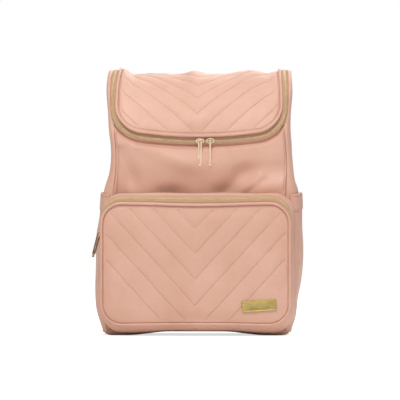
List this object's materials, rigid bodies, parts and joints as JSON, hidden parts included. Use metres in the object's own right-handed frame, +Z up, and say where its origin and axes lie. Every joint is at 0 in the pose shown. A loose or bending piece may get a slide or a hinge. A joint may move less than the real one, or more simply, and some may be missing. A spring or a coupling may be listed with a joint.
{
  "type": "diaper bag",
  "caption": "Backpack-style diaper bag with a domed zipped lid, a zipped front pocket, elastic side pockets, padded shoulder straps, a haul handle and a trolley sleeve.",
  "frame": {"origin": "centre of the flat underside of the base, where the bag stands", "axes": "+Z up, +X to the right when the front is seen, the front pocket faces -Y, the shoulder straps are on +Y"},
  "size_m": [0.3114, 0.1845, 0.3989],
  "materials": {
    "coated_fabric": "soft satin dusty-pink faux leather",
    "edge_trim": "satin dusty-pink faux leather piping and binding",
    "lining": "plain woven beige lining",
    "zip_tape": "woven tan zip tape with pale gold teeth",
    "webbing": "ribbed dusty-pink webbing",
    "foam": "closed-cell foam sheet",
    "gold_metal": "polished pale gold plating",
    "gold_plate": "brushed gold plate, blank"
  },
  "bodies": {
    "bag": {"front_panel": "coated_fabric", "back_panel": "coated_fabric", "side_panel_left": "coated_fabric", "side_panel_right": "coated_fabric", "base_panel": "coated_fabric", "main_lining": "lining", "base_board": "foam", "back_foam": "foam", "laptop_divider": "lining", "inner_slip_pocket": "lining", "body_zip_tape": "zip_tape", "pocket_lining": "lining", "pocket_gusset": "coated_fabric", "pocket_panel_lower": "coated_fabric", "pocket_piping_lower": "edge_trim", "pocket_zip_tape_body": "zip_tape", "name_plate": "gold_plate", "side_pocket_left": "coated_fabric", "side_pocket_right": "coated_fabric", "side_pocket_hem_left": "edge_trim", "side_pocket_hem_right": "edge_trim", "strap_yoke": "edge_trim", "shoulder_strap_left": "coated_fabric", "shoulder_strap_right": "coated_fabric", "strap_webbing_left": "webbing", "strap_webbing_right": "webbing", "strap_anchor_left": "edge_trim", "strap_anchor_right": "edge_trim", "handle_tab_left": "edge_trim", "handle_tab_right": "edge_trim", "trolley_sleeve": "coated_fabric"},
    "lid": {"lid_panel": "coated_fabric", "lid_lining": "lining", "lid_piping": "edge_trim", "lid_zip_tape": "zip_tape"},
    "lid_slider_left": {"lid_slider_left": "gold_metal"},
    "lid_pull_left": {"lid_pull_left": "gold_metal"},
    "lid_slider_right": {"lid_slider_right": "gold_metal"},
    "lid_pull_right": {"lid_pull_right": "gold_metal"},
    "pocket_flap": {"pocket_panel_upper": "coated_fabric", "pocket_piping_upper": "edge_trim", "pocket_zip_tape_flap": "zip_tape"},
    "pocket_slider": {"pocket_slider": "gold_metal"},
    "pocket_pull": {"pocket_pull": "gold_metal"},
    "haul_handle": {"haul_handle": "coated_fabric"},
    "strap_adjuster_left": {"strap_adjuster_left": "gold_metal"},
    "strap_adjuster_right": {"strap_adjuster_right": "gold_metal"}
  },
  "joints": [
    {"name": "lid_hinge", "type": "hinge", "parent": "bag", "child": "lid", "pos_m": [0, 0.048, 0.398], "axis": [-1, 0, 0], "range_deg": [0, 105]},
    {"name": "lid_slider_left_travel", "type": "hinge", "parent": "lid", "child": "lid_slider_left", "pos_m": [0, -0.0625, 0.939], "axis": [0, 1, 0], "range_deg": [0, 7.7]},
    {"name": "lid_pull_left_swing", "type": "hinge", "parent": "lid_slider_left", "child": "lid_pull_left", "pos_m": [0.0023, -0.0673, 0.289], "axis": [-1, 0, 0], "range_deg": [0, 150]},
    {"name": "lid_slider_right_travel", "type": "hinge", "parent": "lid", "child": "lid_slider_right", "pos_m": [0, -0.0625, 0.939], "axis": [0, -1, 0], "range_deg": [0, 6.2]},
    {"name": "lid_pull_right_swing", "type": "hinge", "parent": "lid_slider_right", "child": "lid_pull_right", "pos_m": [0.0174, -0.0673, 0.2892], "axis": [-1, 0, 0], "range_deg": [0, 150]},
    {"name": "pocket_flap_fold", "type": "hinge", "parent": "bag", "child": "pocket_flap", "pos_m": [0, -0.1, 0.111], "axis": [1, 0, 0], "range_deg": [0, 50]},
    {"name": "pocket_slider_travel", "type": "slide", "parent": "bag", "child": "pocket_slider", "axis": [0, 0, 1], "range_m": [-0.03, 0.01]},
    {"name": "pocket_pull_swing", "type": "hinge", "parent": "pocket_slider", "child": "pocket_pull", "pos_m": [-0.1464, -0.08915, 0.151], "axis": [0, 1, 0], "range_deg": [-10, 130]},
    {"name": "haul_handle_swing", "type": "hinge", "parent": "bag", "child": "haul_handle", "pos_m": [0, 0.071, 0.368], "axis": [1, 0, 0], "range_deg": [0, 165]},
    {"name": "strap_adjuster_left_travel", "type": "slide", "parent": "bag", "child": "strap_adjuster_left", "axis": [-0.1348, 0, -0.9909], "range_m": [-0.02, 0.06]},
    {"name": "strap_adjuster_right_travel", "type": "slide", "parent": "bag", "child": "strap_adjuster_right", "axis": [0.1348, 0, -0.9909], "range_m": [-0.02, 0.06]}
  ]
}
